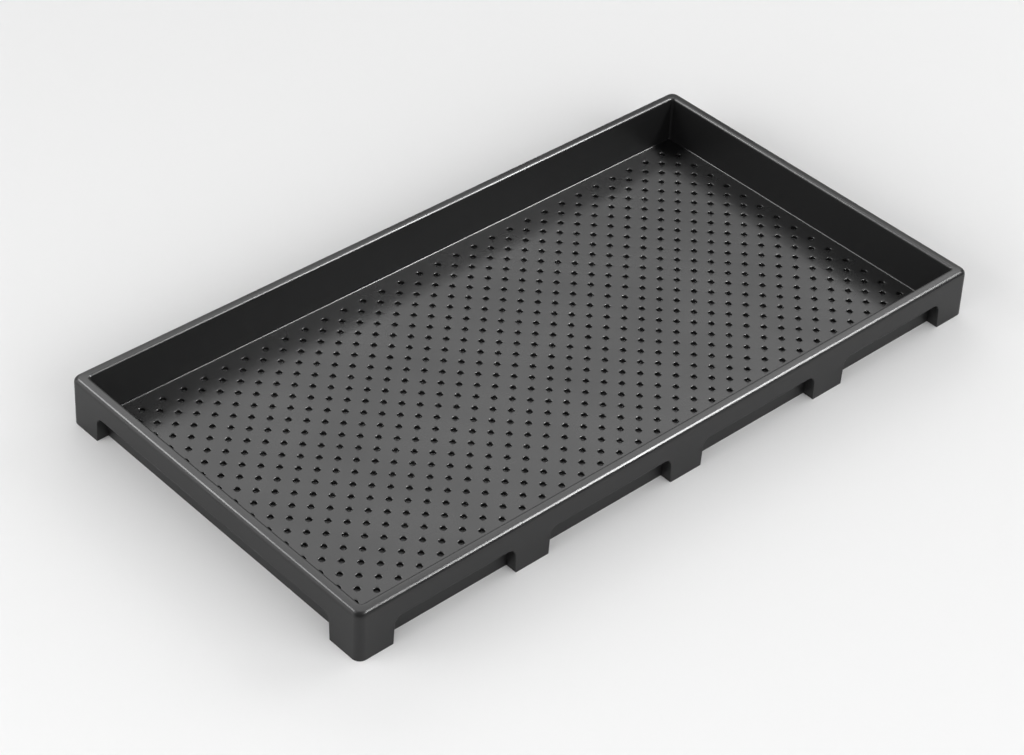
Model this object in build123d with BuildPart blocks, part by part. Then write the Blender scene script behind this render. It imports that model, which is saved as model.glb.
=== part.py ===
# Seedling tray, injection moulded in one piece from black polypropylene. A shallow tub with a flat
# drained floor hangs inside a hollow rim. The rim turns down into an outer skirt, and notches in
# the skirt leave feet that stand level with the ribs under the floor.
# Millimetres. X runs along the tray, Y across it and Z up, from the middle of the footprint.
import os
from math import radians, tan

from build123d import *

# Outside of the skirt, measured at the feet
length = 600.0
width = 321.5
height = 41.0
corner_radius = 6.5
skirt_draft = 1.1
rim_edge_radius = 4.0

# Rim and tub
wall = 2.0
rim_width = 9.0
tub_draft = 3.2
tub_corner_radius = 2.5
inner_edge_radius = 2.0
floor_corner_radius = 1.0

# Floor, with a shallow grid of ribs under it
floor_top = 3.6
floor_thickness = 2.0
rib_thickness = 1.2
rib_steps = 5

# Drain holes: two square grids, each filling the gaps of the other, and a margin around them
hole_diameter = 4.4
hole_step = 9.36
hole_margin = 10.0

# Feet, and the notches between them
foot_width = 30.0
foot_pitch = 147.0
foot_draft = 3.5
notch_height = 22.5
notch_corner_radius = 6.0


def ribs_within(span):
    """How many ribs stand under a span, as an odd number with one in the middle."""
    return 2 * int(span / 2 / rib_pitch - 0.5) + 1


def holes_within(span):
    """How many holes one grid has along a span of the floor, inside the margin."""
    return (int((span - 2 * hole_margin) / hole_step) + 1) // 2


# Sizes that follow from those above
skirt_lean = height * tan(radians(skirt_draft))
tub_lean = height * tan(radians(tub_draft))
opening_length = length - 2 * (skirt_lean + rim_width)
opening_width = width - 2 * (skirt_lean + rim_width)
tub_depth = height - floor_top
floor_underside = floor_top - floor_thickness
underside_length = opening_length - 2 * tub_lean
underside_width = opening_width - 2 * tub_lean
rib_pitch = rib_steps * hole_step
ribs_across = ribs_within(underside_length)
ribs_along = ribs_within(underside_width)
hole_columns = holes_within(underside_length)
hole_rows = holes_within(underside_width)
hollow_height = height - wall

# A web's ends stop inside the skirt, which leans
web_reach_x = length / 2 - skirt_lean - wall / 2
web_reach_y = width / 2 - skirt_lean - wall / 2

# Where the feet end along each side, as pairs that bound one notch each
corner_foot_x = length / 2 - foot_width
corner_foot_y = width / 2 - foot_width
half_foot = foot_width / 2
notches_x = (
    (-corner_foot_x, -foot_pitch - half_foot),
    (-foot_pitch + half_foot, -half_foot),
    (half_foot, foot_pitch - half_foot),
    (foot_pitch + half_foot, corner_foot_x),
)
notches_y = ((-corner_foot_y, corner_foot_y),)


def lean_at(level):
    """How far a foot's side face has moved outwards at a height above the ground."""
    return level * tan(radians(foot_draft))


def notch_faces(notches):
    """Sketch each notch as seen from outside: wide at the ground, with rounded upper corners."""
    lean = lean_at(notch_height)
    for start, end in notches:
        Polygon(
            (start, 0),
            (start + lean, notch_height),
            (end - lean, notch_height),
            (end, 0),
            align=None,
        )


def web_faces(notches):
    """Sketch the two webs that close the feet on both sides of each notch, up to the rim."""
    lean = lean_at(hollow_height)
    for start, end in notches:
        for foot, inward in ((start, 1), (end, -1)):
            Polygon(
                (foot, 0),
                (foot + inward * lean, hollow_height),
                (foot + inward * (lean - wall), hollow_height),
                (foot - inward * wall, 0),
                align=None,
            )


def facing_up(part):
    """Level faces that look upwards, from the lowest to the highest."""
    level = part.faces().filter_by(Axis.Z)
    return level.filter_by(lambda face: face.normal_at().Z > 0).sort_by(Axis.Z)


with BuildPart() as tray:
    # Rim and skirt, as one tapered block with a rounded top edge
    with BuildSketch():
        RectangleRounded(length, width, corner_radius)
    extrude(amount=height, taper=skirt_draft)
    fillet(tray.faces().sort_by(Axis.Z)[-1].edges(), rim_edge_radius)

    # The hollow inside the skirt and under the rim
    with BuildSketch():
        RectangleRounded(length - 2 * wall, width - 2 * wall, corner_radius - wall)
    extrude(amount=hollow_height, taper=skirt_draft, mode=Mode.SUBTRACT)

    # Webs from the skirt inwards, one on each side of every notch
    with BuildSketch(Plane.XZ):
        web_faces(notches_x)
    extrude(amount=web_reach_y, both=True)
    with BuildSketch(Plane.YZ):
        web_faces(notches_y)
    extrude(amount=web_reach_x, both=True)

    # Notches through the skirt
    with BuildSketch(Plane.XZ) as long_side:
        notch_faces(notches_x)
        fillet(long_side.vertices().group_by(Axis.Y)[-1], notch_corner_radius)
    extrude(amount=width, both=True, mode=Mode.SUBTRACT)
    with BuildSketch(Plane.YZ) as short_side:
        notch_faces(notches_y)
        fillet(short_side.vertices().group_by(Axis.Y)[-1], notch_corner_radius)
    extrude(amount=length, both=True, mode=Mode.SUBTRACT)

    # The tub: its outside down to the ground, then its inside down to the floor
    with BuildSketch(Plane.XY.offset(height)):
        RectangleRounded(
            opening_length + 2 * wall, opening_width + 2 * wall, tub_corner_radius + wall
        )
    extrude(amount=-height, taper=tub_draft)
    with BuildSketch(Plane.XY.offset(height)):
        RectangleRounded(opening_length, opening_width, tub_corner_radius)
    extrude(amount=-tub_depth, taper=tub_draft, mode=Mode.SUBTRACT)

    # The rim's inner edge, and the corner between the tub's walls and its floor
    rim_face = facing_up(tray)[-1]
    fillet(rim_face.inner_wires().edges(), inner_edge_radius)
    floor_face = facing_up(tray)[0]
    fillet(floor_face.edges(), floor_corner_radius)

    # The underside of the floor, hollowed between a grid of ribs
    with BuildSketch():
        Rectangle(underside_length, underside_width)
        with GridLocations(rib_pitch, 0, ribs_across, 1):
            Rectangle(rib_thickness, width, mode=Mode.SUBTRACT)
        with GridLocations(0, rib_pitch, 1, ribs_along):
            Rectangle(length, rib_thickness, mode=Mode.SUBTRACT)
    extrude(amount=floor_underside, mode=Mode.SUBTRACT)

    # Drain holes through the floor, in two grids half a step apart each way
    with BuildSketch():
        for offset in (-hole_step / 2, hole_step / 2):
            with Locations((offset, -offset)):
                with GridLocations(2 * hole_step, 2 * hole_step, hole_columns, hole_rows):
                    Circle(hole_diameter / 2)
    extrude(amount=floor_top, mode=Mode.SUBTRACT)

tray.part.label = "tray"
os.makedirs("parts", exist_ok=True)
export_step(tray.part, "parts/tray.step")
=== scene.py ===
"""Seedling tray in black polypropylene: one injection moulding, shown on a pale studio ground.

The outside, rim and tub are lofted between outlines, the webs and notches are cut in, and the
drained floor is made of one hole repeated. Everything is in metres, in the frame of the solid part.
"""

import logging
import math
from dataclasses import dataclass, field
from enum import Enum
from typing import Callable

import bmesh
import bpy
from mathutils import Matrix, Quaternion, Vector


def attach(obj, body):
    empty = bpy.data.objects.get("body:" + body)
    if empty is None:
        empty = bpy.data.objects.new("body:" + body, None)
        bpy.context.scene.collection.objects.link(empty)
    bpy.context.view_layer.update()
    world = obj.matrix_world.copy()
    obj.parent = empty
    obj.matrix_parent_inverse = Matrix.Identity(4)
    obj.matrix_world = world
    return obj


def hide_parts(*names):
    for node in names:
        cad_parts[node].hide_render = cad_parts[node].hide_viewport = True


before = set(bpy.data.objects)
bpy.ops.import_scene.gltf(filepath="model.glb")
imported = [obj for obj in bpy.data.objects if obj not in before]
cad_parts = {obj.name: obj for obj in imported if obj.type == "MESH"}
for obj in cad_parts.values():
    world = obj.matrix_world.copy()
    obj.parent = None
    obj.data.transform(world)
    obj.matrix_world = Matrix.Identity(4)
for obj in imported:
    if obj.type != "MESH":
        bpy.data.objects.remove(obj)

LOG = logging.getLogger("seedling_tray")
MM = 0.001
NEAR = 0.01 * MM
RIGHT_ANGLE = 90.0


class Join(Enum):
    """How a second solid is worked into the first."""

    ADD = "UNION"
    CUT = "DIFFERENCE"


class Side(Enum):
    """The two directions in which the skirt's notches are cut, as a quarter turn or none."""

    LONG = 0
    SHORT = 1


class Task(Enum):
    """What a lamp does: light the tray, show in its gloss, or both."""

    BOTH = "both"
    SHADE = "shade"
    REFLECTION = "reflection"


def slope(degrees: float) -> float:
    """Sideways run of a leaning wall for each unit of height."""
    return math.tan(math.radians(degrees))


def open_piece(name: str) -> bpy.types.Object:
    """Start an empty mesh at the origin, in edit mode.

    Args:
        name: Name of the new object.

    Returns:
        The object, which is active and in edit mode.
    """
    bpy.ops.object.select_all(action="DESELECT")
    bpy.ops.object.add(type="MESH", location=(0.0, 0.0, 0.0))
    piece = bpy.context.active_object
    piece.name = name
    bpy.ops.object.mode_set(mode="EDIT")
    return piece


def close_piece() -> None:
    """Go back to object mode."""
    bpy.ops.object.mode_set(mode="OBJECT")


def work_on(piece: bpy.types.Object) -> None:
    """Make one object the only selected and the active one.

    Args:
        piece: The object.
    """
    bpy.ops.object.select_all(action="DESELECT")
    piece.select_set(True)
    bpy.context.view_layer.objects.active = piece


def pick(piece: bpy.types.Object, test: Callable[[bmesh.types.BMEdge], bool]) -> None:
    """Select the edges that pass a test, and nothing else.

    Args:
        piece: Object in edit mode.
        test: Says of an edge whether it belongs.
    """
    bpy.ops.mesh.select_mode(type="EDGE")
    bpy.ops.mesh.select_all(action="DESELECT")
    mesh = bmesh.from_edit_mesh(piece.data)
    for edge in mesh.edges:
        if test(edge):
            edge.select_set(True)
    bmesh.update_edit_mesh(piece.data)


def within(test: Callable[[Vector], bool]) -> Callable[[bmesh.types.BMEdge], bool]:
    """Make a test of edges out of one that both their ends have to pass."""
    return lambda edge: all(test(vertex.co) for vertex in edge.verts)


def round_off(offset: float, segments: int) -> None:
    """Bevel the picked edges of the mesh in edit mode."""
    bpy.ops.mesh.bevel(
        offset=offset, segments=segments, affect="EDGES", offset_type="OFFSET"
    )


def combine(piece: bpy.types.Object, other: bpy.types.Object, how: Join) -> None:
    """Join a second solid to the first, or cut the first with it, and drop the second.

    Args:
        piece: The first solid, which stays.
        other: The second one.
        how: Whether it is added or cut away.
    """
    work_on(piece)
    bpy.ops.object.modifier_add(type="BOOLEAN")
    step = piece.modifiers[-1]
    step.operation = how.value
    step.solver = "EXACT"
    step.object = other
    bpy.ops.object.modifier_apply(modifier=step.name)
    bpy.data.objects.remove(other)


@dataclass(frozen=True)
class Outline:
    """A rectangle with rounded corners at one level.

    Attributes:
        length: Size along X.
        width: Size along Y.
        radius: Radius of its corners.
        level: Height above the ground.
    """

    length: float
    width: float
    radius: float
    level: float

    def draw(self, segments: int) -> None:
        """Add the outline as a loop of edges to the mesh in edit mode.

        Args:
            segments: Edges in each corner.
        """
        bpy.ops.mesh.select_mode(type="VERT")
        bpy.ops.mesh.select_all(action="DESELECT")
        bpy.ops.mesh.primitive_plane_add(size=self.width, location=(0.0, 0.0, self.level))
        bpy.ops.transform.resize(value=(self.length / self.width, 1.0, 1.0))
        bpy.ops.mesh.bevel(
            affect="VERTICES", offset=self.radius, segments=segments, offset_type="OFFSET"
        )
        bpy.ops.mesh.delete(type="ONLY_FACE")

    def off(self, place: Vector) -> float:
        """Measure how far a place is from the outline, seen from above.

        Args:
            place: The place.

        Returns:
            Its distance, which is negative inside the outline.
        """
        along = abs(place.x) - (self.length / 2 - self.radius)
        across = abs(place.y) - (self.width / 2 - self.radius)
        if along > 0 and across > 0:
            return math.hypot(along, across) - self.radius
        return max(along, across) - self.radius

    def holds(self, place: Vector) -> bool:
        """Whether a place lies on the outline."""
        return abs(place.z - self.level) < NEAR and abs(self.off(place)) < NEAR

    def moved(self, grow: float, level: float) -> "Outline":
        """The same outline grown outwards by a distance and set at another level."""
        return Outline(
            self.length + 2 * grow, self.width + 2 * grow, self.radius + grow, level
        )


@dataclass
class TubAndRim:
    """The shell of the moulding: skirt, rim and tub, one wall thick and still without its holes.

    Attributes:
        length: Outside length at the feet.
        width: Outside width at the feet.
        height: Height of the rim's top.
        corner_radius: Radius of the skirt's corners.
        skirt_draft: Lean of the skirt, in degrees.
        tub_draft: Lean of the tub's walls, in degrees.
        wall: Wall thickness.
        rim_width: Width of the rim's top.
        rim_crest: Width of its level part, beside the opening.
        rim_fall: How far the rest falls outwards.
        rim_round: Radius of the rim's outer edge.
        inner_round: Radius of the rim's inner edge.
        tub_corner: Radius of the tub's corners at the rim.
        floor_corner: Radius of the tub's corners at the floor.
        floor_round: Radius between wall and floor.
        floor_top: Level of the floor.
        floor_underside: Level of the floor's underside.
        corner_segments: Edges in each rounded corner.
        rim_segments: Faces across the rim's outer rounding.
        inner_segments: Faces across its inner rounding.
        floor_segments: Faces across the rounding between wall and floor.
    """

    length: float = 600.0 * MM
    width: float = 321.5 * MM
    height: float = 41.0 * MM
    corner_radius: float = 6.5 * MM
    skirt_draft: float = 1.1
    tub_draft: float = 3.2
    wall: float = 2.0 * MM
    rim_width: float = 9.0 * MM
    rim_crest: float = 3.0 * MM
    rim_fall: float = 0.5 * MM
    rim_round: float = 4.0 * MM
    inner_round: float = 2.0 * MM
    tub_corner: float = 2.5 * MM
    floor_corner: float = 1.4 * MM
    floor_round: float = 1.0 * MM
    floor_top: float = 3.6 * MM
    floor_underside: float = 1.6 * MM
    corner_segments: int = 8
    rim_segments: int = 10
    inner_segments: int = 6
    floor_segments: int = 5

    def rim_level(self) -> float:
        """Level of the rim's outer edge before it is rounded."""
        return self.height - self.rim_fall

    def hollow(self) -> float:
        """Level of the rim's underside."""
        return self.height - self.wall

    def foot(self) -> Outline:
        """Outside of the skirt at the ground."""
        return Outline(self.length, self.width, self.corner_radius, 0.0)

    def skirt(self, level: float) -> Outline:
        """Outside of the skirt at a level."""
        return self.foot().moved(-level * slope(self.skirt_draft), level)

    def opening(self) -> Outline:
        """Find the rim's inner edge.

        Returns:
            The edge as it is before it is rounded.
        """
        top = self.skirt(self.height)
        inset = 2 * self.rim_width
        return Outline(
            top.length - inset, top.width - inset, self.tub_corner, self.height
        )

    def tub_outside(self, level: float) -> Outline:
        """Outside of the tub's walls at a level."""
        drop = (self.height - level) * slope(self.tub_draft)
        return self.opening().moved(self.wall - drop, level)

    def tub_floor(self) -> Outline:
        """Find where the tub's walls meet its floor.

        Returns:
            The corner between them as it is before it is rounded.
        """
        opening = self.opening()
        drop = 2 * (self.height - self.floor_top) * slope(self.tub_draft)
        return Outline(
            opening.length - drop, opening.width - drop, self.floor_corner, self.floor_top
        )

    def underside(self, level: float) -> Outline:
        """Find the inside of the tub's foot, under the floor.

        Args:
            level: Level at which the outline is wanted.

        Returns:
            The outline, which is the same at every level.
        """
        opening = self.opening()
        drop = 2 * self.height * slope(self.tub_draft)
        return Outline(
            opening.length - drop, opening.width - drop, self.floor_round, level
        )

    def sections(self) -> list[Outline]:
        """List the outlines in the order in which the wall runs.

        Returns:
            The outlines from the floor out over the rim to the skirt, and back below to the floor.
        """
        hollow = self.hollow()
        return [
            self.tub_floor(),
            self.opening(),
            self.opening().moved(self.rim_crest, self.height),
            self.skirt(self.rim_level()),
            self.foot(),
            self.foot().moved(-self.wall, 0.0),
            self.skirt(hollow).moved(-self.wall, hollow),
            self.tub_outside(hollow),
            self.tub_outside(0.0),
            self.underside(0.0),
            self.underside(self.floor_underside),
        ]

    def build(self) -> bpy.types.Object:
        """Loft the wall through its outlines, close the floor and round the edges.

        Two loops in one plane can't be bridged, so the second of such a pair is drawn higher and
        lowered once the wall is whole.

        Returns:
            A closed solid, in object mode.
        """
        piece = open_piece("tray_moulding")
        lift = self.height
        sections = self.sections()
        drawn = sections[:1]
        for before, outline in zip(sections, sections[1:]):
            level = abs(outline.level - before.level) < NEAR
            drawn.append(outline.moved(0.0, outline.level + lift) if level else outline)
        for outline in drawn:
            outline.draw(self.corner_segments)
        for first, second in zip(drawn, drawn[1:]):
            pick(piece, within(lambda place: first.holds(place) or second.holds(place)))
            bpy.ops.mesh.bridge_edge_loops()
        for raised, outline in zip(drawn, sections):
            if raised is not outline:
                pick(piece, within(raised.holds))
                bpy.ops.transform.translate(value=(0.0, 0.0, -lift))
        for outline in (sections[0], sections[-1]):
            pick(piece, within(outline.holds))
            bpy.ops.mesh.edge_face_add()
        bpy.ops.mesh.select_all(action="SELECT")
        bpy.ops.mesh.normals_make_consistent(inside=False)
        self.round_rims(piece)
        close_piece()
        return piece

    def round_rims(self, piece: bpy.types.Object) -> None:
        """Round the rim's two edges and the corner between wall and floor.

        A bevel starts further back on either face the more they turn at the edge.

        Args:
            piece: The shell, in edit mode.
        """
        fall = math.degrees(math.atan(self.rim_fall / (self.rim_width - self.rim_crest)))
        outer_turn = RIGHT_ANGLE - self.skirt_draft - fall
        inner_turn = RIGHT_ANGLE - self.tub_draft
        rounds = (
            (self.skirt(self.rim_level()), self.rim_round, outer_turn, self.rim_segments),
            (self.opening(), self.inner_round, inner_turn, self.inner_segments),
            (self.tub_floor(), self.floor_round, inner_turn, self.floor_segments),
        )
        for outline, radius, turn, segments in rounds:
            pick(piece, within(outline.holds))
            round_off(radius * math.tan(math.radians(turn / 2)), segments)


@dataclass
class FeetAndNotches:
    """The notches cut in the skirt, and the webs that close the feet beside them.

    Attributes:
        shell: The shell that they are cut in.
        foot_width: Width of a foot.
        foot_pitch: Distance between the middle feet of a long side.
        foot_draft: Lean of a foot's sides, in degrees.
        notch_height: Level of a notch's top.
        notch_round: Radius of a notch's upper corners.
        edge_round: Radius of the skirt's lower edge.
        edge_segments: Faces across that rounding.
        edge_angle: Least angle between the faces of an edge that is rounded, in degrees.
        set_back: How far a web stands back from the notch's side.
        overlap: How far it reaches up into the rim.
        cut_depth: How far the cutters reach in from the tray's side.
        overshoot: How far they reach past the skirt, outwards and down.
    """

    shell: TubAndRim
    foot_width: float = 30.0 * MM
    foot_pitch: float = 147.0 * MM
    foot_draft: float = 3.5
    notch_height: float = 22.5 * MM
    notch_round: float = 6.0 * MM
    edge_round: float = 0.4 * MM
    edge_segments: int = 2
    edge_angle: float = 50.0
    set_back: float = 0.05 * MM
    overlap: float = 0.1 * MM
    cut_depth: float = 5.6 * MM
    overshoot: float = 4.0 * MM

    def spans(self, side: Side) -> list[tuple[float, float]]:
        """Find where the notches lie along one side.

        Args:
            side: The side.

        Returns:
            Where each notch starts and ends at the ground.
        """
        half = self.foot_width / 2
        if side is Side.SHORT:
            end = self.shell.width / 2 - self.foot_width
            return [(-end, end)]
        end = self.shell.length / 2 - self.foot_width
        pitch = self.foot_pitch
        return [
            (-end, -pitch - half),
            (half - pitch, -half),
            (half, pitch - half),
            (pitch + half, end),
        ]

    def block(
        self, low: Vector, high: Vector, lean: tuple[float, float], inward: float
    ) -> None:
        """Add a block to the mesh in edit mode, then lean its sides by moving its top.

        Args:
            low: Its lowest corner.
            high: Its highest corner.
            lean: How far the top's low and high ends move along X.
            inward: How far the top's inner end moves along Y.
        """
        bpy.ops.mesh.select_mode(type="VERT")
        bpy.ops.mesh.select_all(action="DESELECT")
        middle = (low + high) / 2
        bpy.ops.mesh.primitive_cube_add(size=1.0, location=middle)
        bpy.ops.transform.resize(value=high - low, center_override=middle)
        mesh = bmesh.from_edit_mesh(bpy.context.active_object.data)
        top = [vertex for vertex in mesh.verts if vertex.select and vertex.co.z > middle.z]
        ends = (
            ([vertex for vertex in top if vertex.co.x < middle.x], (lean[0], 0.0, 0.0)),
            ([vertex for vertex in top if vertex.co.x > middle.x], (lean[1], 0.0, 0.0)),
            ([vertex for vertex in top if vertex.co.y > middle.y], (0.0, inward, 0.0)),
        )
        for moving, move in ends:
            for vertex in mesh.verts:
                vertex.select_set(False)
            for vertex in moving:
                vertex.select_set(True)
            mesh.select_flush_mode()
            bpy.ops.transform.translate(value=move)

    def place(self, piece: bpy.types.Object, side: Side) -> None:
        """Give a piece its copy for the opposite side, and a quarter turn for the short sides.

        Args:
            piece: The piece for one side, in edit mode.
            side: The side.
        """
        close_piece()
        work_on(piece)
        bpy.ops.object.duplicate()
        other = bpy.context.active_object
        for part, turn in ((piece, 0.0), (other, math.pi)):
            part.rotation_euler = (0.0, 0.0, turn - side.value * math.pi / 2)
        piece.select_set(True)
        bpy.context.view_layer.objects.active = piece
        bpy.ops.object.transform_apply(location=True, rotation=True, scale=True)
        bpy.ops.object.join()

    def webs(self, side: Side) -> bpy.types.Object:
        """Model the webs that close the feet, between the skirt and the tub.

        Args:
            side: The pair of sides that they are for.

        Returns:
            One web at each end of every notch.
        """
        shell = self.shell
        half = (shell.width if side is Side.LONG else shell.length) / 2
        rim_inset = shell.height * slope(shell.skirt_draft) + shell.rim_width
        outer = half - shell.height * slope(shell.skirt_draft) - shell.wall / 2
        inner = half - rim_inset - shell.height * slope(shell.tub_draft) + shell.wall / 2
        top = shell.hollow() + self.overlap
        lean = top * slope(self.foot_draft)
        piece = open_piece("webs")
        for start, end in self.spans(side):
            for foot, way in ((start, 1.0), (end, -1.0)):
                face = foot - way * self.set_back
                edges = sorted((face, face - way * shell.wall))
                low = Vector((edges[0], -outer, 0.0))
                high = Vector((edges[1], -inner, top))
                shift = way * lean
                self.block(low, high, (shift, shift), -top * slope(shell.tub_draft))
        self.place(piece, side)
        return piece

    def cutters(self, side: Side) -> bpy.types.Object:
        """Model the wedges that cut the notches out of the skirt.

        Args:
            side: The pair of sides that they are for.

        Returns:
            One wedge for each notch, with rounded upper corners.
        """
        shell = self.shell
        half = (shell.width if side is Side.LONG else shell.length) / 2
        lean = (self.notch_height + self.overshoot) * slope(self.foot_draft)
        out = self.overshoot * slope(self.foot_draft)
        piece = open_piece("notches")
        for start, end in self.spans(side):
            low = Vector((start - out, -half - self.overshoot, -self.overshoot))
            high = Vector((end + out, self.cut_depth - half, self.notch_height))
            self.block(low, high, (lean, -lean), 0.0)

        def upper_corner(edge: bmesh.types.BMEdge) -> bool:
            """Whether an edge runs along one of a notch's upper corners."""
            first, second = (vertex.co for vertex in edge.verts)
            return abs(first.y - second.y) > shell.wall and min(first.z, second.z) > 0.0

        pick(piece, upper_corner)
        round_off(self.notch_round, shell.corner_segments)
        self.place(piece, side)
        return piece

    def cut(self, tray: bpy.types.Object) -> None:
        """Work the webs and notches of all four sides into the shell, and round the lower edge.

        Args:
            tray: The shell.
        """
        for side in Side:
            combine(tray, self.webs(side), Join.ADD)
        for side in Side:
            combine(tray, self.cutters(side), Join.CUT)
        self.soften(tray)

    def soften(self, tray: bpy.types.Object) -> None:
        """Round the edge that runs along the feet and round the notches, outside.

        Args:
            tray: The shell with its notches cut.
        """
        work_on(tray)
        bpy.ops.object.mode_set(mode="EDIT")
        top = self.notch_height + self.shell.wall
        outside = within(
            lambda place: place.z < top and abs(self.shell.skirt(place.z).off(place)) < NEAR
        )
        least = math.radians(self.edge_angle)
        pick(tray, lambda edge: outside(edge) and edge.calc_face_angle(0.0) > least)
        round_off(self.edge_round, self.edge_segments)
        close_piece()


@dataclass
class DrainedFloor:
    """The tub's floor: one drain hole repeated over a chequer of square cells, and ribs below.

    Attributes:
        shell: The shell that the floor closes.
        step: Side of one cell.
        columns: Pairs of cells along the tray.
        rows: Pairs of cells across it.
        hole: Diameter of a hole.
        hole_round: Radius of a hole's upper edge.
        hole_sides: Sides of a hole.
        hole_segments: Faces across the rounding of its edge.
        rib: Thickness of a rib.
        rib_steps: Cells between two ribs.
        ribs_across: Ribs that run across the tray.
        ribs_along: Ribs that run along it.
    """

    shell: TubAndRim
    step: float = 9.36 * MM
    columns: int = 30
    rows: int = 15
    hole: float = 4.4 * MM
    hole_round: float = 0.6 * MM
    hole_sides: int = 16
    hole_segments: int = 2
    rib: float = 1.2 * MM
    rib_steps: int = 5
    ribs_across: int = 11
    ribs_along: int = 5

    def first_corner(self) -> Vector:
        """Middle of the first block of four cells."""
        return Vector((-(self.columns - 1) * self.step, -(self.rows - 1) * self.step, 0.0))

    def blank_cell(self, middle: Vector) -> None:
        """Add a cell with no hole, above and below."""
        for level in (self.shell.floor_top, self.shell.floor_underside):
            bpy.ops.mesh.primitive_plane_add(
                size=self.step, location=(middle.x, middle.y, level)
            )

    def drained_cell(self, piece: bpy.types.Object, middle: Vector) -> None:
        """Add a cell with a hole: a ring drawn down, set in squares above and below, and rounded.

        Args:
            piece: The sheet, in edit mode.
            middle: Middle of the cell.
        """
        top, below = self.shell.floor_top, self.shell.floor_underside
        half = self.step / 2
        radius = self.hole / 2

        def in_cell(place: Vector) -> bool:
            """Whether a place lies in the cell or on its border."""
            away = max(abs(place.x - middle.x), abs(place.y - middle.y))
            return away < half + NEAR

        def on_ring(place: Vector) -> bool:
            """Whether a place lies on the hole's wall."""
            away = math.hypot(place.x - middle.x, place.y - middle.y)
            return abs(away - radius) < NEAR

        bpy.ops.mesh.select_all(action="DESELECT")
        bpy.ops.mesh.primitive_circle_add(
            vertices=self.hole_sides, radius=radius, location=(middle.x, middle.y, top)
        )
        bpy.ops.mesh.select_mode(type="EDGE")
        bpy.ops.mesh.extrude_region_move(
            TRANSFORM_OT_translate={"value": (0.0, 0.0, below - top)}
        )
        for level in (top, below):
            bpy.ops.mesh.select_all(action="DESELECT")
            bpy.ops.mesh.primitive_plane_add(
                size=self.step, location=(middle.x, middle.y, level)
            )
            bpy.ops.mesh.delete(type="ONLY_FACE")
            pick(piece, within(lambda place: in_cell(place) and abs(place.z - level) < NEAR))
            bpy.ops.mesh.fill(use_beauty=True)
        pick(piece, within(lambda place: on_ring(place) and abs(place.z - top) < NEAR))
        round_off(self.hole_round, self.hole_segments)

    def sheet(self) -> bpy.types.Object:
        """Model four cells and repeat them along and across.

        Returns:
            The perforated sheet, in object mode.
        """
        piece = open_piece("drained_floor")
        middle = self.first_corner()
        half = self.step / 2
        cells = ((-1, 1, True), (1, -1, True), (-1, -1, False), (1, 1, False))
        for along, across, drained in cells:
            place = middle + Vector((along * half, across * half, 0.0))
            if drained:
                self.drained_cell(piece, place)
            else:
                self.blank_cell(place)
        bpy.ops.mesh.select_all(action="SELECT")
        bpy.ops.mesh.remove_doubles(threshold=NEAR)
        close_piece()
        for count, offset in (
            (self.columns, (2 * self.step, 0.0, 0.0)),
            (self.rows, (0.0, 2 * self.step, 0.0)),
        ):
            bpy.ops.object.modifier_add(type="ARRAY")
            repeat = piece.modifiers[-1]
            repeat.count = count
            repeat.use_relative_offset = False
            repeat.use_constant_offset = True
            repeat.constant_offset_displace = offset
            repeat.use_merge_vertices = True
            repeat.merge_threshold = NEAR
            bpy.ops.object.modifier_apply(modifier=repeat.name)
        return piece

    def ribs(self, across: bool, count: int) -> bpy.types.Object:
        """Ribs of one direction, as bars that end inside the tub's foot.

        Args:
            across: Whether they run across the tray.
            count: How many there are.

        Returns:
            The bars as one object.
        """
        shell = self.shell
        reach = shell.underside(0.0)
        top = (shell.floor_top + shell.floor_underside) / 2
        size = Vector((reach.length + shell.wall, self.rib, top))
        if across:
            size = Vector((self.rib, reach.width + shell.wall, top))
        piece = open_piece("floor_ribs")
        for index in range(count):
            at = (index - (count - 1) / 2) * self.step * self.rib_steps
            place = Vector((at, 0.0, top / 2) if across else (0.0, at, top / 2))
            bpy.ops.mesh.select_all(action="DESELECT")
            bpy.ops.mesh.primitive_cube_add(size=1.0, location=place)
            bpy.ops.transform.resize(value=size, center_override=place)
        close_piece()
        return piece

    def fit(self, tray: bpy.types.Object) -> None:
        """Put the perforated sheet in the tub in place of its plain floor, then add the ribs.

        Args:
            tray: The shell.
        """
        shell = self.shell
        least_area = (shell.width / 2) ** 2
        sheet = self.sheet()
        work_on(tray)
        bpy.ops.object.mode_set(mode="EDIT")
        bpy.ops.mesh.select_mode(type="FACE")
        bpy.ops.mesh.select_all(action="DESELECT")
        mesh = bmesh.from_edit_mesh(tray.data)
        for face in mesh.faces:
            level = face.calc_center_median().z
            wide = face.calc_area() > least_area
            face.select_set(wide and level < shell.floor_top + NEAR)
        bmesh.update_edit_mesh(tray.data)
        bpy.ops.mesh.delete(type="ONLY_FACE")
        close_piece()
        sheet.select_set(True)
        bpy.ops.object.join()
        bpy.ops.object.mode_set(mode="EDIT")
        for level in (shell.floor_top, shell.floor_underside):
            here = within(lambda place: abs(place.z - level) < NEAR)
            pick(tray, lambda edge: edge.is_boundary and here(edge))
            bpy.ops.mesh.fill(use_beauty=True)
        bpy.ops.mesh.select_all(action="SELECT")
        bpy.ops.mesh.normals_make_consistent(inside=False)
        close_piece()
        ribs = self.ribs(True, self.ribs_across)
        combine(ribs, self.ribs(False, self.ribs_along), Join.ADD)
        combine(tray, ribs, Join.ADD)


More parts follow.
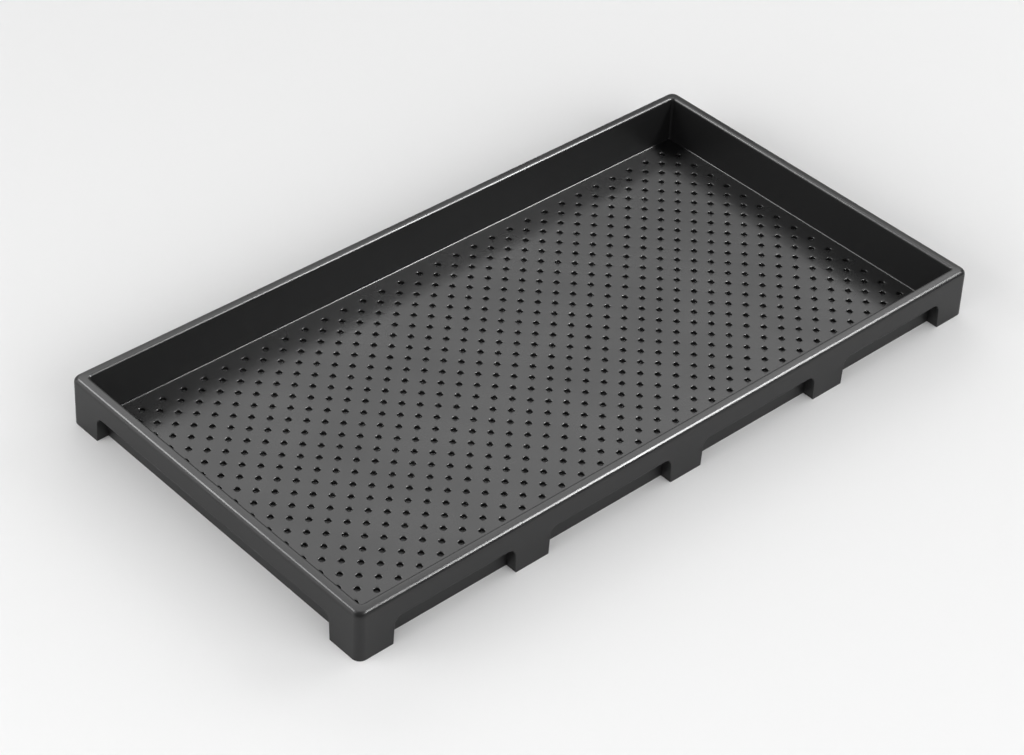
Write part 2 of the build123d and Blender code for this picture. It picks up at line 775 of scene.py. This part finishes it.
@dataclass(frozen=True)
class MouldedGrain:
    """Shader node group for the surface that a steel mould leaves on the plastic.

    Level faces come off the mould polished. Upright walls are drawn out along it, which dulls them.

    Attributes:
        name: Name of the node group.
        grain: Scale and detail of the fine grain, in cells for each metre.
        ripple: Those of the slow ripple of the cooled wall.
        drift: Those of the broad drift of the tone.
        reach: The part of a noise's values that is stretched over a whole range.
        upright: How far an upright wall's normal may point up before the dulling fades.
        level: How far up it points where the dulling has gone.
    """

    name: str = "moulded_grain"
    grain: tuple[float, float] = (1900.0, 2.0)
    ripple: tuple[float, float] = (95.0, 1.0)
    drift: tuple[float, float] = (14.0, 3.0)
    reach: tuple[float, float] = (0.32, 0.68)
    upright: float = 0.10
    level: float = 0.40

    def noise(
        self, tree: bpy.types.NodeTree, vector: bpy.types.NodeSocket, kind: tuple[float, float]
    ) -> bpy.types.NodeSocket:
        """Add a noise to the group.

        Args:
            tree: The group's nodes.
            vector: The object's own coordinates.
            kind: Scale and detail of the noise.

        Returns:
            The noise's value.
        """
        node = tree.nodes.new("ShaderNodeTexNoise")
        node.inputs["Scale"].default_value, node.inputs["Detail"].default_value = kind
        tree.links.new(vector, node.inputs["Vector"])
        return node.outputs["Fac"]

    def ranged(
        self,
        tree: bpy.types.NodeTree,
        value: bpy.types.NodeSocket,
        low: bpy.types.NodeSocket,
        high: bpy.types.NodeSocket,
    ) -> bpy.types.NodeSocket:
        """Stretch the middle of a noise over a range.

        Args:
            tree: The group's nodes.
            value: The noise's value.
            low: Start of the range.
            high: Its end.

        Returns:
            A value within the range.
        """
        node = tree.nodes.new("ShaderNodeMapRange")
        node.inputs["From Min"].default_value = self.reach[0]
        node.inputs["From Max"].default_value = self.reach[1]
        tree.links.new(value, node.inputs["Value"])
        tree.links.new(low, node.inputs["To Min"])
        tree.links.new(high, node.inputs["To Max"])
        return node.outputs["Result"]

    def dulled(
        self,
        tree: bpy.types.NodeTree,
        facing: bpy.types.NodeSocket,
        polished: bpy.types.NodeSocket,
        drawn: bpy.types.NodeSocket,
    ) -> bpy.types.NodeSocket:
        """Pass from one roughness to another by how steep the face is.

        Args:
            tree: The group's nodes.
            facing: The way the surface faces.
            polished: Roughness of level faces.
            drawn: Roughness of upright walls.

        Returns:
            The roughness at each place.
        """
        split = tree.nodes.new("ShaderNodeSeparateXYZ")
        steep = tree.nodes.new("ShaderNodeMath")
        steep.operation = "ABSOLUTE"
        blend = tree.nodes.new("ShaderNodeMapRange")
        blend.interpolation_type = "SMOOTHSTEP"
        blend.inputs["From Min"].default_value = self.upright
        blend.inputs["From Max"].default_value = self.level
        tree.links.new(facing, split.inputs["Vector"])
        tree.links.new(split.outputs["Z"], steep.inputs[0])
        tree.links.new(steep.outputs[0], blend.inputs["Value"])
        tree.links.new(drawn, blend.inputs["To Min"])
        tree.links.new(polished, blend.inputs["To Max"])
        return blend.outputs["Result"]

    def build(self) -> bpy.types.NodeTree:
        """Make the group.

        Returns:
            A group that takes a place, the way the surface faces, the roughness of polished and
            drawn faces and the depths of grain and ripple, and puts out Roughness, Height and Tone.
        """
        tree = bpy.data.node_groups.new(self.name, "ShaderNodeTree")
        wanted = (
            ("Place", "INPUT", "NodeSocketVector"),
            ("Facing", "INPUT", "NodeSocketVector"),
            ("Smoothest", "INPUT", "NodeSocketFloat"),
            ("Roughest", "INPUT", "NodeSocketFloat"),
            ("Drawn", "INPUT", "NodeSocketFloat"),
            ("Grain Depth", "INPUT", "NodeSocketFloat"),
            ("Ripple Depth", "INPUT", "NodeSocketFloat"),
            ("Roughness", "OUTPUT", "NodeSocketFloat"),
            ("Height", "OUTPUT", "NodeSocketFloat"),
            ("Tone", "OUTPUT", "NodeSocketFloat"),
        )
        for label, way, kind in wanted:
            tree.interface.new_socket(name=label, in_out=way, socket_type=kind)
        given = tree.nodes.new("NodeGroupInput").outputs
        result = tree.nodes.new("NodeGroupOutput").inputs
        fine = self.noise(tree, given["Place"], self.grain)
        slow = self.noise(tree, given["Place"], self.ripple)
        broad = self.noise(tree, given["Place"], self.drift)
        rough = self.ranged(tree, broad, given["Smoothest"], given["Roughest"])
        spread = self.dulled(tree, given["Facing"], rough, given["Drawn"])
        tree.links.new(spread, result["Roughness"])
        deep = tree.nodes.new("ShaderNodeMath")
        deep.operation = "MULTIPLY"
        tree.links.new(fine, deep.inputs[0])
        tree.links.new(given["Grain Depth"], deep.inputs[1])
        height = tree.nodes.new("ShaderNodeMath")
        height.operation = "MULTIPLY_ADD"
        tree.links.new(slow, height.inputs[0])
        tree.links.new(given["Ripple Depth"], height.inputs[1])
        tree.links.new(deep.outputs[0], height.inputs[2])
        tree.links.new(height.outputs[0], result["Height"])
        tree.links.new(broad, result["Tone"])
        return tree


@dataclass(frozen=True)
class BlackPolypropylene:
    """Satin black plastic as it leaves the mould.

    Attributes:
        dark: Colour where the surface is darkest.
        light: Colour where it is lightest.
        smoothest: Least roughness of the polished faces.
        roughest: Their greatest roughness.
        drawn: Roughness of the upright walls.
        grain_depth: Depth of the fine grain.
        ripple_depth: Depth of the slow ripple.
        bump: Height of a depth of one, in metres.
        refraction: Index of refraction.
    """

    dark: tuple[float, float, float] = (0.0040, 0.0040, 0.0042)
    light: tuple[float, float, float] = (0.0062, 0.0062, 0.0064)
    smoothest: float = 0.25
    roughest: float = 0.33
    drawn: float = 0.46
    grain_depth: float = 0.35
    ripple_depth: float = 1.0
    bump: float = 0.00002
    refraction: float = 1.49

    def build(self) -> bpy.types.Material:
        """Make the material.

        Returns:
            A material on object coordinates.
        """
        material = bpy.data.materials.new("black_polypropylene")
        material.use_nodes = True
        tree = material.node_tree
        skin = tree.nodes["Principled BSDF"]
        skin.inputs["IOR"].default_value = self.refraction
        place = tree.nodes.new("ShaderNodeTexCoord")
        grain = tree.nodes.new("ShaderNodeGroup")
        grain.node_tree = MouldedGrain().build()
        grain.inputs["Smoothest"].default_value = self.smoothest
        grain.inputs["Roughest"].default_value = self.roughest
        grain.inputs["Drawn"].default_value = self.drawn
        grain.inputs["Grain Depth"].default_value = self.grain_depth
        grain.inputs["Ripple Depth"].default_value = self.ripple_depth
        colour = tree.nodes.new("ShaderNodeMix")
        colour.data_type = "RGBA"
        colour.inputs["A"].default_value = (*self.dark, 1.0)
        colour.inputs["B"].default_value = (*self.light, 1.0)
        bump = tree.nodes.new("ShaderNodeBump")
        bump.inputs["Distance"].default_value = self.bump
        joins = (
            (place.outputs["Object"], grain.inputs["Place"]),
            (place.outputs["Normal"], grain.inputs["Facing"]),
            (grain.outputs["Tone"], colour.inputs["Factor"]),
            (colour.outputs["Result"], skin.inputs["Base Color"]),
            (grain.outputs["Roughness"], skin.inputs["Roughness"]),
            (grain.outputs["Height"], bump.inputs["Height"]),
            (bump.outputs["Normal"], skin.inputs["Normal"]),
        )
        for source, target in joins:
            tree.links.new(source, target)
        return material


@dataclass
class TrayMoulding:
    """The whole tray, one piece of plastic.

    Attributes:
        shell: Skirt, rim and tub.
        finish: Its material.
        smooth_angle: Edges flatter than this are shaded round, in degrees.
        weight: How far large faces keep their own shading, in percent.
    """

    shell: TubAndRim = field(default_factory=TubAndRim)
    finish: BlackPolypropylene = field(default_factory=BlackPolypropylene)
    smooth_angle: float = 50.0
    weight: int = 80

    def build(self) -> bpy.types.Object:
        """Model the tray and put it in place of the plain solid.

        Returns:
            The finished piece.
        """
        tray = self.shell.build()
        FeetAndNotches(self.shell).cut(tray)
        DrainedFloor(self.shell).fit(tray)
        self.shade(tray)
        self.dress(tray)
        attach(tray, "root")
        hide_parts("tray")
        return tray

    def shade(self, tray: bpy.types.Object) -> None:
        """Shade the rounded edges round and keep the large faces flat.

        Args:
            tray: The finished mesh.
        """
        work_on(tray)
        bpy.ops.object.shade_smooth_by_angle(angle=math.radians(self.smooth_angle))
        bpy.ops.object.modifier_add(type="WEIGHTED_NORMAL")
        weighting = tray.modifiers[-1]
        weighting.mode = "FACE_AREA"
        weighting.weight = self.weight
        weighting.keep_sharp = True
        bpy.ops.object.modifier_apply(modifier=weighting.name)

    def dress(self, tray: bpy.types.Object) -> None:
        """Give the tray its finish."""
        tray.data.materials.clear()
        tray.data.materials.append(self.finish.build())


@dataclass(frozen=True)
class Ground:
    """The pale ground that the tray stands on.

    Attributes:
        size: Side of the ground.
        colour: Its colour.
    """

    size: float = 30.0
    colour: float = 0.88

    def build(self) -> bpy.types.Object:
        """Lay the ground.

        Returns:
            The ground.
        """
        bpy.ops.object.select_all(action="DESELECT")
        bpy.ops.mesh.primitive_plane_add(size=self.size, location=(0.0, 0.0, 0.0))
        ground = bpy.context.active_object
        ground.name = "pale_ground"
        material = bpy.data.materials.new("pale_ground")
        material.use_nodes = True
        skin = material.node_tree.nodes["Principled BSDF"]
        skin.inputs["Base Color"].default_value = (self.colour, self.colour, self.colour, 1.0)
        skin.inputs["Roughness"].default_value = 1.0
        skin.inputs["Specular IOR Level"].default_value = 0.0
        ground.data.materials.append(material)
        return ground


@dataclass(frozen=True)
class SoftLight:
    """A large soft lamp that faces the tray.

    Attributes:
        name: Name of the lamp.
        azimuth: Direction from the tray, in degrees from +X towards +Y.
        elevation: Height above the horizon, in degrees.
        width: Level size of the lamp.
        height: Size of the lamp along its slope.
        radiance: Brightness of its face, where 1 is white.
        roll: Turn of the lamp about its own axis, in degrees.
        task: What the lamp is for.
        distance: Distance from the tray's middle.
    """

    name: str
    azimuth: float
    elevation: float
    width: float
    height: float
    radiance: float
    roll: float = 0.0
    task: Task = Task.BOTH
    distance: float = 3.0

    def build(self) -> bpy.types.Object:
        """Hang the lamp, hidden from the camera.

        Returns:
            The lamp.
        """
        turn, rise = math.radians(self.azimuth), math.radians(self.elevation)
        level = math.cos(rise)
        away = Vector((math.cos(turn) * level, math.sin(turn) * level, math.sin(rise)))
        bpy.ops.object.select_all(action="DESELECT")
        bpy.ops.object.light_add(type="AREA", location=away * self.distance)
        lamp = bpy.context.active_object
        lamp.name = self.name
        lamp.rotation_mode = "QUATERNION"
        rolled = Quaternion((0.0, 0.0, 1.0), math.radians(self.roll))
        lamp.rotation_quaternion = away.to_track_quat("Z", "Y") @ rolled
        lamp.data.shape = "RECTANGLE"
        lamp.data.size = self.width
        lamp.data.size_y = self.height
        lamp.data.energy = self.radiance * math.pi * self.width * self.height
        lamp.visible_camera = False
        lamp.visible_diffuse = self.task is not Task.REFLECTION
        lamp.visible_glossy = self.task is not Task.SHADE
        return lamp


@dataclass
class Studio:
    """Ground, lamps, pale surroundings and the camera.

    Attributes:
        ground: The ground.
        lamps: The lamps.
        overhead: Brightness of the surroundings above.
        horizon: Brightness of the pale backdrop all around, near the horizon.
        fade: How high a direction points where the backdrop starts to dim and where it has.
        eye: Place of the camera.
        ahead: Direction in which it looks.
        right: Direction of the picture's right side.
        focal: Focal length, in millimetres.
        sensor: Width of the sensor, in millimetres.
        clip: Nearest and farthest distance that the camera sees.
    """

    ground: Ground = field(default_factory=Ground)
    lamps: tuple[SoftLight, ...] = (
        SoftLight("front_fill", -75.0, 26.0, 2.2, 1.6, 3.3, task=Task.SHADE),
        SoftLight("right_fill", -10.0, 24.0, 2.2, 1.6, 2.8, task=Task.SHADE),
        SoftLight("left_fill", 168.0, 24.0, 2.2, 1.6, 3.3, task=Task.SHADE),
        SoftLight("near_left_fill", 200.0, 18.0, 2.2, 1.0, 3.5, task=Task.SHADE),
        SoftLight("near_right_fill", 250.0, 18.0, 2.2, 1.0, 3.5, task=Task.SHADE),
        SoftLight("back_fill", 55.0, 24.0, 2.8, 1.2, 2.4, task=Task.SHADE),
        SoftLight("back_softbox", 50.0, 45.5, 3.1, 1.4, 2.45, task=Task.REFLECTION),
        SoftLight("left_wall", 140.0, 20.0, 1.6, 2.0, 1.8),
        SoftLight("right_strip", -26.5, 50.5, 2.2, 0.5, 50.0, roll=24.0, task=Task.REFLECTION),
        SoftLight("left_strip", 112.0, 48.0, 1.6, 1.0, 13.0, task=Task.REFLECTION),
    )
    overhead: float = 0.25
    horizon: float = 0.60
    fade: tuple[float, float] = (0.08, 0.36)
    eye: Vector = field(default_factory=lambda: Vector((-1.1114, -1.1378, 1.2550)))
    ahead: Vector = field(default_factory=lambda: Vector((0.54094, 0.56448, -0.62349)))
    right: Vector = field(default_factory=lambda: Vector((0.74298, -0.66813, 0.03972)))
    focal: float = 95.99
    sensor: float = 36.0
    clip: tuple[float, float] = (0.05, 60.0)

    def build(self) -> None:
        """Set up everything that isn't part of the tray."""
        self.ground.build()
        for lamp in self.lamps:
            lamp.build()
        self.surroundings()
        self.camera()
        bpy.context.scene.view_settings.view_transform = "Standard"

    def surroundings(self) -> None:
        """A pale backdrop all around, which fades to a dimmer ceiling."""
        world = bpy.data.worlds.new("studio")
        bpy.context.scene.world = world
        world.use_nodes = True
        tree = world.node_tree
        glow = tree.nodes["Background"]
        glow.inputs["Color"].default_value = (1.0, 1.0, 1.0, 1.0)
        place = tree.nodes.new("ShaderNodeTexCoord")
        split = tree.nodes.new("ShaderNodeSeparateXYZ")
        level = tree.nodes.new("ShaderNodeMapRange")
        level.interpolation_type = "SMOOTHSTEP"
        level.inputs["From Min"].default_value = self.fade[0]
        level.inputs["From Max"].default_value = self.fade[1]
        level.inputs["To Min"].default_value = self.horizon
        level.inputs["To Max"].default_value = self.overhead
        tree.links.new(place.outputs["Object"], split.inputs["Vector"])
        tree.links.new(split.outputs["Z"], level.inputs["Value"])
        tree.links.new(level.outputs["Result"], glow.inputs["Strength"])

    def camera(self) -> bpy.types.Object:
        """Stand the camera where the photograph was taken from.

        Returns:
            The camera.
        """
        ahead = self.ahead.normalized()
        right = (self.right - ahead * self.right.dot(ahead)).normalized()
        axes = Matrix((right, right.cross(ahead), -ahead)).transposed()
        data = bpy.data.cameras.new("view")
        data.sensor_width = self.sensor
        data.lens = self.focal
        data.clip_start, data.clip_end = self.clip
        camera = bpy.data.objects.new("view", data)
        bpy.context.collection.objects.link(camera)
        camera.rotation_mode = "QUATERNION"
        camera.rotation_quaternion = axes.to_quaternion()
        camera.location = self.eye
        bpy.context.scene.camera = camera
        return camera


def main() -> None:
    """Build the studio and the tray."""
    logging.basicConfig(level=logging.INFO, format="%(name)s: %(message)s")
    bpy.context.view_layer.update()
    Studio().build()
    LOG.info("studio is set up")
    tray = TrayMoulding().build()
    LOG.info("%s has %d faces", tray.name, len(tray.data.polygons))


if __name__ == "__main__":
    main()
